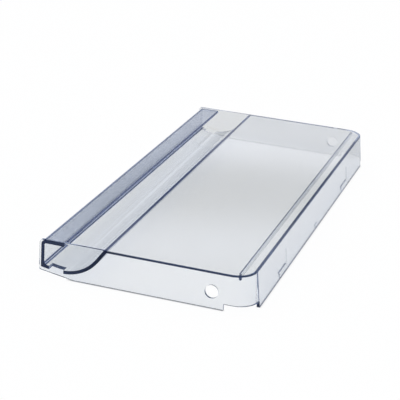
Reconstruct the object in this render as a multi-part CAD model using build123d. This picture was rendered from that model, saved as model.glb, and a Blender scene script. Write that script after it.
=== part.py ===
# Freezer drawer front, moulded as one piece of clear polystyrene.
# It lies face up on its rim: X along the width, Y towards the handle, Z up through the face.
# The origin is under the middle of the front, on the surface that it rests on.
# Lengths are in millimetres and angles in degrees.
from build123d import *
from math import cos, radians, sin, tan
import os

# Size of the face, and depth of the front behind it
FACE_WIDTH = 460.0
FACE_HEIGHT = 206.8
FRONT_DEPTH = 36.0

# Thicknesses of the moulding
PANEL_WALL = 2.6
SIDE_WALL = 2.3
FOOT_WALL = 3.0
GRIP_WALL = 3.4
LIP_WALL = 3.1

# Side walls: rounded corners at the foot, and the slopes that let the part leave its mould
FOOT_CORNER_RADIUS = 20.0
END_DRAFT = 1.5
FOOT_DRAFT = 6.5
FACE_EDGE_RADIUS = 0.8

# Handle channel: reach from the handle edge, and depth below the face
END_RIM = 1.2
LIP_REACH = 23.6
LIP_EDGE_RADIUS = 1.0
RIDGE_FROM_EDGE = 64.5
RIDGE_RADIUS = 0.5
FACE_ROOT_RADIUS = 0.5
SCOOP_ANGLE = 54.0
SCOOP_RADIUS = 40.0
FLOOR_TILT = 10.0
FLOOR_DROP = 25.4
FLOOR_CORNER_RADIUS = 4.0
GRIP_EDGE_RADIUS = 4.0
GRIP_HEEL_RADIUS = 1.0

# Outline of the end walls: raised heel under the handle, and lower edge cut short at the foot
HEEL_DROP = 30.5
HEEL_LENGTH = 35.0
HEEL_RADIUS = 2.0
CROWN_RADIUS = 3.5
CORNER_CUT_LENGTH = 24.6
CORNER_CUT_HEIGHT = 6.0

# Pegs of the drawer body, and the holes for them in the end walls
PEG_RADIUS = 6.3
PEG_CLEARANCE = 0.2
PEG_FROM_FOOT = 36.6
PEG_DROP = 19.8

# Slots through the channel floor beside the end walls
SLOT_FROM_EDGE = 9.6
SLOT_WIDTH = 14.6
SLOT_DEPTH = 7.0

# Edge of the drawer body, and the rib under the face that holds it against the foot wall
DRAWER_EDGE = 8.5
DRAWER_EDGE_CLEARANCE = 0.5
EDGE_RIB_FROM_END = 8.0
EDGE_RIB_WALL = 2.4
EDGE_RIB_HEIGHT = 4.5
EDGE_TIP_RADIUS = 1.1

# Catches inside the foot wall, each with a guide rib at one end, and the gate pad between them
CATCH_SPACING = 256.0
CATCH_LENGTH = 26.0
CATCH_HEIGHT = 5.5
CATCH_DEPTH = 1.8
CATCH_LEAD = 0.5
GUIDE_RIB_WALL = 1.2
GUIDE_RIB_HEIGHT = 14.5
GUIDE_RIB_DEPTH = 1.4
GATE_LENGTH = 8.0
GATE_HEIGHT = 4.0
GATE_DEPTH = 0.8

# Distance that a cutting shape runs past the surface that it cuts
PAST = 2.0

OVERALL_HEIGHT = FACE_HEIGHT + FRONT_DEPTH * tan(radians(FOOT_DRAFT))
GRIP_OUTER = END_RIM
GRIP_INNER = GRIP_OUTER + GRIP_WALL
LIP_TOP = FRONT_DEPTH - END_RIM
LIP_UNDERSIDE = LIP_TOP - LIP_WALL
PANEL_UNDERSIDE = FRONT_DEPTH - PANEL_WALL

# Sections are drawn with their first axis from the handle edge to the foot and their second axis up.
SECTION = Plane(origin=(0, OVERALL_HEIGHT / 2, 0), x_dir=(0, -1, 0), z_dir=(-1, 0, 0))


def half_width(z):
    """Half the width over the end walls at height z."""
    return FACE_WIDTH / 2 + (FRONT_DEPTH - z) * tan(radians(END_DRAFT))


def foot(z):
    """Outer face of the foot wall at height z, from the handle edge."""
    return FACE_HEIGHT + (FRONT_DEPTH - z) * tan(radians(FOOT_DRAFT))


def crossing(p, p_angle, q, q_angle):
    """Where a line through p at p_angle meets a line through q at q_angle."""
    pa, qa = radians(p_angle), radians(q_angle)
    along = ((q[0] - p[0]) * sin(qa) - (q[1] - p[1]) * cos(qa)) / sin(qa - pa)
    return (p[0] + along * cos(pa), p[1] + along * sin(pa))


def below(p, angle, distance):
    """The point a distance under p, square to a line at that angle."""
    return (p[0] + distance * sin(radians(angle)), p[1] - distance * cos(radians(angle)))


def round_corner(face, corner, radius):
    """The face with its vertex nearest to a point rounded."""
    return fillet(face.vertices().sort_by_distance(Vector(*corner))[0], radius)


def along_width(corners, length, middle=0.0, rounds=None):
    """Solid of a length along X, with a section through the corners, rounded where a radius is given."""
    outline = make_face(Polyline(*corners, close=True))
    for corner, radius in (rounds or {}).items():
        outline = round_corner(outline, corner, radius)
    return Pos(middle, 0, 0) * extrude(SECTION * outline, amount=length / 2, both=True)


def plan(z, inset, foot_inset, edge):
    """Plan of the side walls at height z, drawn in by the insets, square at the handle edge."""
    x = half_width(z) - inset
    handle_y = OVERALL_HEIGHT / 2 - edge
    foot_y = OVERALL_HEIGHT / 2 - foot(z) + foot_inset
    outline = make_face(Polyline((-x, foot_y), (x, foot_y), (x, handle_y), (-x, handle_y), close=True))
    for corner in ((x, foot_y), (-x, foot_y)):
        outline = round_corner(outline, corner, FOOT_CORNER_RADIUS - inset)
    return Pos(0, 0, z) * outline


def block(inset, foot_inset, edge, low, high):
    """Tapered block inside the side walls, drawn in by the insets, between two heights."""
    return loft([plan(low, inset, foot_inset, edge), plan(high, inset, foot_inset, edge)], ruled=True)


def face_and_grip():
    """The face, the scooped handle channel and its lip, as one section along the width."""
    face_end = foot(0)
    ridge = (RIDGE_FROM_EDGE, FRONT_DEPTH)
    floor_end = (GRIP_INNER, FRONT_DEPTH - FLOOR_DROP)
    scoop = crossing(ridge, SCOOP_ANGLE, floor_end, -FLOOR_TILT)
    lip_root = (GRIP_INNER, LIP_UNDERSIDE)
    lip_low = (GRIP_OUTER + LIP_REACH, LIP_UNDERSIDE)
    lip_high = (GRIP_OUTER + LIP_REACH, LIP_TOP)
    grip_edge = (GRIP_OUTER, LIP_TOP)
    slope_under = below(ridge, SCOOP_ANGLE, GRIP_WALL)
    floor_under = below(floor_end, -FLOOR_TILT, GRIP_WALL)
    grip_heel = crossing(floor_under, -FLOOR_TILT, grip_edge, 90)
    scoop_under = crossing(slope_under, SCOOP_ANGLE, floor_under, -FLOOR_TILT)
    face_root = crossing(slope_under, SCOOP_ANGLE, (face_end, PANEL_UNDERSIDE), 0)
    rounds = {ridge: RIDGE_RADIUS, scoop: SCOOP_RADIUS, floor_end: FLOOR_CORNER_RADIUS,
              lip_root: LIP_EDGE_RADIUS, lip_low: LIP_EDGE_RADIUS, lip_high: LIP_EDGE_RADIUS,
              grip_edge: GRIP_EDGE_RADIUS, grip_heel: GRIP_HEEL_RADIUS,
              scoop_under: SCOOP_RADIUS + GRIP_WALL, face_root: FACE_ROOT_RADIUS}
    corners = [(face_end, FRONT_DEPTH), *rounds, (face_end, PANEL_UNDERSIDE)]
    return along_width(corners, 2 * half_width(0), rounds=rounds)


def on_foot_wall(low, high, low_depth, high_depth, length, middle):
    """Pad on the inner side of the foot wall, between two heights, with a depth at each."""
    return along_width([(foot(low) - FOOT_WALL / 2, low),
                        (foot(low) - FOOT_WALL - low_depth, low),
                        (foot(high) - FOOT_WALL - high_depth, high),
                        (foot(high) - FOOT_WALL / 2, high)], length, middle)


def between_heights(near, far, low, high, length, middle=0.0):
    """Square bar along the width, between two distances from the handle edge and two heights."""
    return along_width([(near, low), (far, low), (far, high), (near, high)], length, middle)


# Side walls, open towards the handle, with a rising heel under it
crown = (0.0, FRONT_DEPTH)
heel = (0.0, FRONT_DEPTH - HEEL_DROP)
end_outline = [crown, heel, (HEEL_LENGTH, 0.0), (foot(0), 0.0), (foot(0), FRONT_DEPTH)]
outside = block(0.0, 0.0, 0.0, 0.0, FRONT_DEPTH)
inside = block(SIDE_WALL, FOOT_WALL, -PAST, -PAST, FRONT_DEPTH + PAST)
face_edges = outside.edges().group_by(Axis.Z)[-1].sort_by(Axis.Y)[:-1]
front = fillet(face_edges, FACE_EDGE_RADIUS) - inside
front &= along_width(end_outline, 2 * half_width(0), rounds={crown: CROWN_RADIUS, heel: HEEL_RADIUS})

# Face and grip, joined half into the walls
wall_middles = plan(FRONT_DEPTH, SIDE_WALL / 2, FOOT_WALL / 2, 0.0)
half_way = extrude(wall_middles, amount=FRONT_DEPTH + PAST, both=True)
front += face_and_grip() & half_way

# Lower edge of the foot corners, cut short of the rim that the front rests on
corner_width = half_width(0) - FACE_WIDTH / 2 + FOOT_CORNER_RADIUS + PAST
corner_middle = half_width(0) + PAST - corner_width / 2
for side in (-1, 1):
    front -= between_heights(FACE_HEIGHT - CORNER_CUT_LENGTH, OVERALL_HEIGHT + PAST, -PAST, CORNER_CUT_HEIGHT,
                             corner_width, side * corner_middle)

# Slots through the channel floor, up to the inner faces of the end walls
slot_middle = FACE_WIDTH / 2 - (SIDE_WALL + SLOT_DEPTH) / 2
for side in (-1, 1):
    slot = between_heights(SLOT_FROM_EDGE, SLOT_FROM_EDGE + SLOT_WIDTH, 0.0, LIP_UNDERSIDE,
                           SIDE_WALL + SLOT_DEPTH, side * slot_middle)
    front -= slot & inside

# Peg holes, one in each end wall, on one axis
hole_from_edge = FACE_HEIGHT - PEG_FROM_FOOT
hole = SECTION * Pos(hole_from_edge, FRONT_DEPTH - PEG_DROP) * Circle(PEG_RADIUS + PEG_CLEARANCE)
front -= extrude(hole, amount=half_width(-PAST), both=True)

# Rib under the face, short of both end walls, with a round tip
rib_far = foot(PANEL_UNDERSIDE) - FOOT_WALL - DRAWER_EDGE - DRAWER_EDGE_CLEARANCE
rib_near = rib_far - EDGE_RIB_WALL
rib_low = PANEL_UNDERSIDE - EDGE_RIB_HEIGHT
rib_root = PANEL_UNDERSIDE + PANEL_WALL / 2
rib_tip = {(rib_near, rib_low): EDGE_TIP_RADIUS, (rib_far, rib_low): EDGE_TIP_RADIUS}
rib_length = FACE_WIDTH - 2 * EDGE_RIB_FROM_END
front += along_width([*rib_tip, (rib_far, rib_root), (rib_near, rib_root)], rib_length, rounds=rib_tip)

# Catches and their guide ribs, and the gate pad
for side in (-1, 1):
    catch_middle = side * CATCH_SPACING / 2
    guide_middle = catch_middle + CATCH_LENGTH / 2 - GUIDE_RIB_WALL / 2
    guide_low = CATCH_HEIGHT - CATCH_DEPTH
    front += on_foot_wall(0.0, CATCH_HEIGHT, CATCH_LEAD, CATCH_DEPTH, CATCH_LENGTH, catch_middle)
    front += on_foot_wall(guide_low, CATCH_HEIGHT + GUIDE_RIB_HEIGHT, GUIDE_RIB_DEPTH, GUIDE_RIB_DEPTH / 2,
                          GUIDE_RIB_WALL, guide_middle)
front += on_foot_wall(0.0, GATE_HEIGHT, GATE_DEPTH, GATE_DEPTH, GATE_LENGTH, 0.0)

os.makedirs("parts", exist_ok=True)
front.label = "drawer_front"
export_step(front, "parts/drawer_front.step")
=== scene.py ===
from math import pi, radians, sin

import bmesh
import bpy
from mathutils import Euler, Matrix, Vector


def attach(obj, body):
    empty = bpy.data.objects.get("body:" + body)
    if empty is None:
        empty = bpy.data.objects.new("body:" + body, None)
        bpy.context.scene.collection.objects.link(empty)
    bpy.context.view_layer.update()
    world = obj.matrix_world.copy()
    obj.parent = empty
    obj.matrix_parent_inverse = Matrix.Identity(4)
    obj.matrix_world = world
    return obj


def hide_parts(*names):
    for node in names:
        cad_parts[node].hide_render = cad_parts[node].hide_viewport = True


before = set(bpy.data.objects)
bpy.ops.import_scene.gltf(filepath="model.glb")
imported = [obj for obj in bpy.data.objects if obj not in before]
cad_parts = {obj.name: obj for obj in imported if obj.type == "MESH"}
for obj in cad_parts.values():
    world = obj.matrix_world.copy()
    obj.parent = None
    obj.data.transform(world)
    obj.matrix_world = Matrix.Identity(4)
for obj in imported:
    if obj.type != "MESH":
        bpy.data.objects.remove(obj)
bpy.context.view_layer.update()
scene = bpy.context.scene


# Drawer front
# The whole front is one injection moulding of clear polystyrene, polished in the mould.
# Its skin is the moulding's own surface with the facets of the curves shaded as one.

MM = 0.001
FACET_LIMIT = radians(24)
MERGE_GAP = 0.002 * MM
FLAT_FACE_WEIGHT = 100

moulding = bmesh.new()
moulding.from_mesh(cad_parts["drawer_front"].data)
bmesh.ops.remove_doubles(moulding, verts=moulding.verts, dist=MERGE_GAP)
for face in moulding.faces:
    face.smooth = True
for edge in moulding.edges:
    edge.smooth = edge.is_manifold and edge.calc_face_angle() < FACET_LIMIT
front_mesh = bpy.data.meshes.new("clear_front")
moulding.to_mesh(front_mesh)
moulding.free()
front = bpy.data.objects.new("clear_front", front_mesh)
scene.collection.objects.link(front)
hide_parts("drawer_front")
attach(front, "root")

# The wide flat faces stay optically flat right up to the rounded edges beside them.
flats = front.modifiers.new("flats", "WEIGHTED_NORMAL")
flats.mode = "FACE_AREA"
flats.weight = FLAT_FACE_WEIGHT
flats.keep_sharp = True


def linear(hex_colour):
    """Linear red, green, blue and alpha of an sRGB hex colour."""
    channels = [int(hex_colour[i:i + 2], 16) / 255 for i in (1, 3, 5)]
    return [c / 12.92 if c <= 0.04045 else ((c + 0.055) / 1.055) ** 2.4 for c in channels] + [1.0]


def add(tree, kind, inputs=None, **settings):
    """Add a node, set its properties, and set or link its inputs."""
    node = tree.nodes.new(kind)
    for name, value in settings.items():
        setattr(node, name, value)
    for name, value in (inputs or {}).items():
        if isinstance(value, bpy.types.NodeSocket):
            tree.links.new(value, node.inputs[name])
        else:
            node.inputs[name].default_value = value
    return node


# Clear polystyrene: glassy, with a faint blue-grey tint that is hardly there through one wall
# and turns to navy where the eye looks along a wall. Soft flow marks run along the width, and
# a faint blue glow is painted on every surface in place of scattered light. The top and tip
# of the lip have a fine grain and a darker blue-grey painted shade.
POLYSTYRENE_IOR = 1.59
CLEAR = "#F8F8F6"
GLINT = "#9BAFED"
TINT = "#A3B8DC"
TINT_DENSITY = 40.0
# Painted glow: every surface gives off a faint blue light in place of light scattered in the plastic.
PAINTED_GLOW = "#DBF0FF"
PAINTED_GLOW_STRENGTH = 0.007

FLOW_SPACING = 60 * MM
FLOW_DEPTH = 0.01 * MM
FLOW_STRETCH = (0.5, 1.0, 1.0)
FLOW_DETAIL = 2.0
FLOW_LOW = 0.3
FLOW_HIGH = 0.7
FINEST_POLISH = 0.015
DULLEST_POLISH = 0.05

# Painted shade: the grained faces of the lip are coloured a darker blue-grey.
LIP_PAINTED_SHADE = "#ACB5CB"
LIP_GRAIN = 0.07
LIP_FROM_Y = 80.3 * MM
LIP_FROM_Z = 31.8 * MM
LIP_TURN = 0.2

polystyrene = bpy.data.materials.new("clear_polystyrene")
polystyrene.use_nodes = True
polystyrene.cycles.emission_sampling = "NONE"
tree = polystyrene.node_tree
tree.nodes.clear()
place = add(tree, "ShaderNodeTexCoord")
along = add(tree, "ShaderNodeMapping", {"Vector": place.outputs["Object"], "Scale": FLOW_STRETCH})
flow = add(tree, "ShaderNodeTexNoise", {
    "Vector": along.outputs["Vector"], "Scale": 1 / FLOW_SPACING, "Detail": FLOW_DETAIL})
polish = add(tree, "ShaderNodeMapRange", {
    "Value": flow.outputs["Fac"], "From Min": FLOW_LOW, "From Max": FLOW_HIGH,
    "To Min": FINEST_POLISH, "To Max": DULLEST_POLISH})
waves = add(tree, "ShaderNodeBump", {
    "Height": flow.outputs["Fac"], "Strength": 1.0, "Distance": FLOW_DEPTH})

# The lip's grain and its darker painted shade lie on what faces up or towards the finger gap there.
where = add(tree, "ShaderNodeSeparateXYZ", {"Vector": place.outputs["Object"]})
facing = add(tree, "ShaderNodeSeparateXYZ", {"Vector": place.outputs["Normal"]})
at_lip = add(tree, "ShaderNodeMath", {0: where.outputs["Y"], 1: LIP_FROM_Y}, operation="GREATER_THAN")
high_up = add(tree, "ShaderNodeMath", {0: where.outputs["Z"], 1: LIP_FROM_Z}, operation="GREATER_THAN")
outward = add(tree, "ShaderNodeMath", {0: facing.outputs["Z"], 1: facing.outputs["Y"]},
              operation="SUBTRACT")
turned = add(tree, "ShaderNodeMath", {0: outward.outputs[0], 1: LIP_TURN}, operation="GREATER_THAN")
on_lip = add(tree, "ShaderNodeMath", {0: at_lip.outputs[0], 1: high_up.outputs[0]},
             operation="MULTIPLY")
on_lip = add(tree, "ShaderNodeMath", {0: on_lip.outputs[0], 1: turned.outputs[0]},
             operation="MULTIPLY")
# Painted shade on the lip: its faces take the darker blue-grey colour.
colour = add(tree, "ShaderNodeMix", {
    "Factor": on_lip.outputs[0], 6: linear(CLEAR), 7: linear(LIP_PAINTED_SHADE)}, data_type="RGBA")
grain = add(tree, "ShaderNodeMath", {
    0: on_lip.outputs[0], 1: LIP_GRAIN, 2: polish.outputs["Result"]}, operation="MULTIPLY_ADD")

surface = add(tree, "ShaderNodeBsdfPrincipled", {
    "Base Color": colour.outputs[2], "Roughness": grain.outputs[0], "IOR": POLYSTYRENE_IOR,
    "Transmission Weight": 1.0, "Specular Tint": linear(GLINT), "Normal": waves.outputs["Normal"],
    "Emission Color": linear(PAINTED_GLOW), "Emission Strength": PAINTED_GLOW_STRENGTH})
shadow = add(tree, "ShaderNodeBsdfTransparent", {"Color": linear("#FFFFFF")})
path = add(tree, "ShaderNodeLightPath")
lit = add(tree, "ShaderNodeMixShader", {
    "Fac": path.outputs["Is Shadow Ray"], 1: surface.outputs["BSDF"], 2: shadow.outputs["BSDF"]})
tint = add(tree, "ShaderNodeVolumeAbsorption", {"Color": linear(TINT), "Density": TINT_DENSITY})
add(tree, "ShaderNodeOutputMaterial", {
    "Surface": lit.outputs["Shader"], "Volume": tint.outputs["Volume"]})
front_mesh.materials.append(polystyrene)


# Floor
# A plain white table top, wide enough to fill the view, with a thin contact shadow along the rim.
# In reflections and beyond the far end of the front it carries a darker painted shade.

FLOOR_SIZE = 30.0
FLOOR_GAP = 0.4 * MM
TABLE_WHITE = "#F8F8F8"
TABLE_PAINTED_SHADE = "#B8BABE"
DIM_FROM_X = 226 * MM
DIM_TO_X = 245 * MM
FAR_DIM = 0.5
CONTACT_REACH = 1.6 * MM
CONTACT_SHADE = 0.2
CONTACT_SAMPLES = 8
WHITE_IN_PLASTIC = 0.25
WHITE_TO_CAMERA = 0.65

top = bmesh.new()
bmesh.ops.create_grid(top, x_segments=1, y_segments=1, size=FLOOR_SIZE / 2)
floor_mesh = bpy.data.meshes.new("floor")
top.to_mesh(floor_mesh)
top.free()
floor = bpy.data.objects.new("floor", floor_mesh)
floor.location.z = -FLOOR_GAP
scene.collection.objects.link(floor)

table_white = bpy.data.materials.new("table_white")
table_white.use_nodes = True
tree = table_white.node_tree
tree.nodes.clear()
path = add(tree, "ShaderNodeLightPath").outputs
mirrored = add(tree, "ShaderNodeMath", {0: path["Is Glossy Ray"], 1: path["Is Transmission Ray"]},
               operation="SUBTRACT")
place = add(tree, "ShaderNodeTexCoord")
where = add(tree, "ShaderNodeSeparateXYZ", {"Vector": place.outputs["Object"]})
far = add(tree, "ShaderNodeMapRange", {
    "Value": where.outputs["X"], "From Min": DIM_FROM_X, "From Max": DIM_TO_X,
    "To Min": 0.0, "To Max": FAR_DIM})
behind = add(tree, "ShaderNodeMath", {0: far.outputs["Result"], 1: path["Is Transmission Ray"]},
             operation="MULTIPLY")
dim = add(tree, "ShaderNodeMath", {0: mirrored.outputs[0], 1: behind.outputs[0]},
          operation="MAXIMUM")
# Painted shade: the table turns grey in reflections and, seen through the plastic, beyond the far end.
shade = add(tree, "ShaderNodeMix", {
    "Factor": dim.outputs[0], 6: linear(TABLE_WHITE), 7: linear(TABLE_PAINTED_SHADE)}, data_type="RGBA")

contact = add(tree, "ShaderNodeAmbientOcclusion", {"Distance": CONTACT_REACH},
              samples=CONTACT_SAMPLES)
open_air = add(tree, "ShaderNodeMapRange", {
    "Value": contact.outputs["AO"], "To Min": CONTACT_SHADE})
under = add(tree, "ShaderNodeVectorMath", {
    0: shade.outputs[2], "Scale": open_air.outputs["Result"]}, operation="SCALE")
paint = add(tree, "ShaderNodeBsdfDiffuse", {"Color": under.outputs["Vector"]})
glow = add(tree, "ShaderNodeEmission", {
    "Color": linear("#FFFFFF"), "Strength": open_air.outputs["Result"]})

seen = add(tree, "ShaderNodeMath", {0: path["Is Camera Ray"], 1: path["Is Transmission Ray"]},
           operation="MAXIMUM")
seen = add(tree, "ShaderNodeMath", {0: seen.outputs[0], 1: path["Is Glossy Ray"]},
           operation="MAXIMUM")
share = add(tree, "ShaderNodeMath", {0: seen.outputs[0], 1: WHITE_IN_PLASTIC}, operation="MULTIPLY")
share = add(tree, "ShaderNodeMath", {
    0: path["Is Camera Ray"], 1: WHITE_TO_CAMERA, 2: share.outputs[0]}, operation="MULTIPLY_ADD")
mixed = add(tree, "ShaderNodeMixShader", {
    "Fac": share.outputs[0], 1: paint.outputs["BSDF"], 2: glow.outputs["Emission"]})
add(tree, "ShaderNodeOutputMaterial", {"Surface": mixed.outputs["Shader"]})
floor_mesh.materials.append(table_white)


# Light
# A light backdrop that darkens towards the table, a darker gap above it and a grey ceiling,
# with one large softbox under the ceiling.

ROOM = [(14.5, "#B0B2B8"), (17.6, "#F6F6F8"), (18.8, "#F6F6F8"), (20.4, "#6A6C72"),
        (21.2, "#6A6C72"), (23.4, "#D2D3D6"), (26.0, "#787A7E")]
SOFTBOX_SIZE = 8.0
SOFTBOX_HEIGHT = 3.0
SOFTBOX_POWER = 231.0

world = bpy.data.worlds.new("studio")
scene.world = world
world.use_nodes = True
tree = world.node_tree
tree.nodes.clear()
outlook = add(tree, "ShaderNodeTexCoord")
height = add(tree, "ShaderNodeSeparateXYZ", {"Vector": outlook.outputs["Generated"]})
walls = add(tree, "ShaderNodeValToRGB", {"Fac": height.outputs["Z"]})
walls.color_ramp.interpolation = "EASE"
ramp = walls.color_ramp.elements
for i, (elevation, tone) in enumerate(ROOM):
    stop = ramp[i] if i < 2 else ramp.new(1.0)
    stop.position = sin(radians(elevation))
    stop.color = linear(tone)
sky = add(tree, "ShaderNodeBackground", {"Color": walls.outputs["Color"], "Strength": 1.0})
add(tree, "ShaderNodeOutputWorld", {"Surface": sky.outputs["Background"]})

box = bpy.data.lights.new("softbox", "AREA")
box.shape = "SQUARE"
box.size = SOFTBOX_SIZE
box.energy = SOFTBOX_POWER
box.cycles.use_multiple_importance_sampling = False
softbox = bpy.data.objects.new("softbox", box)
softbox.location.z = SOFTBOX_HEIGHT
softbox.visible_glossy = False
softbox.visible_transmission = False
scene.collection.objects.link(softbox)


# Camera
# It looks along the front from one end, a little from the foot side,
# with the roll of a hand-held shot.

CAMERA_AZIMUTH = radians(-72.25)
CAMERA_ELEVATION = radians(21.395)
CAMERA_ROLL = radians(3.275)
CAMERA_DISTANCE = 1.39509
CAMERA_TARGET = Vector((-0.03287, 0.014211, 0.021))
SENSOR_WIDTH = 36.0
FOCAL_LENGTH = 119.88
LIGHT_BOUNCES = 48

lens = bpy.data.cameras.new("camera")
lens.sensor_width = SENSOR_WIDTH
lens.lens = FOCAL_LENGTH
camera = bpy.data.objects.new("camera", lens)
turn = Euler((pi / 2 - CAMERA_ELEVATION, 0.0, CAMERA_AZIMUTH)).to_matrix().to_4x4()
turn = turn @ Matrix.Rotation(CAMERA_ROLL, 4, "Z")
standpoint = CAMERA_TARGET + turn.to_3x3() @ Vector((0, 0, CAMERA_DISTANCE))
camera.matrix_world = Matrix.Translation(standpoint) @ turn
scene.collection.objects.link(camera)
scene.camera = camera

# Light runs along inside the thin walls, from one side to the other, before it comes out.
scene.cycles.max_bounces = LIGHT_BOUNCES
scene.cycles.glossy_bounces = LIGHT_BOUNCES
scene.cycles.transmission_bounces = LIGHT_BOUNCES

scene.view_settings.view_transform = "Standard"
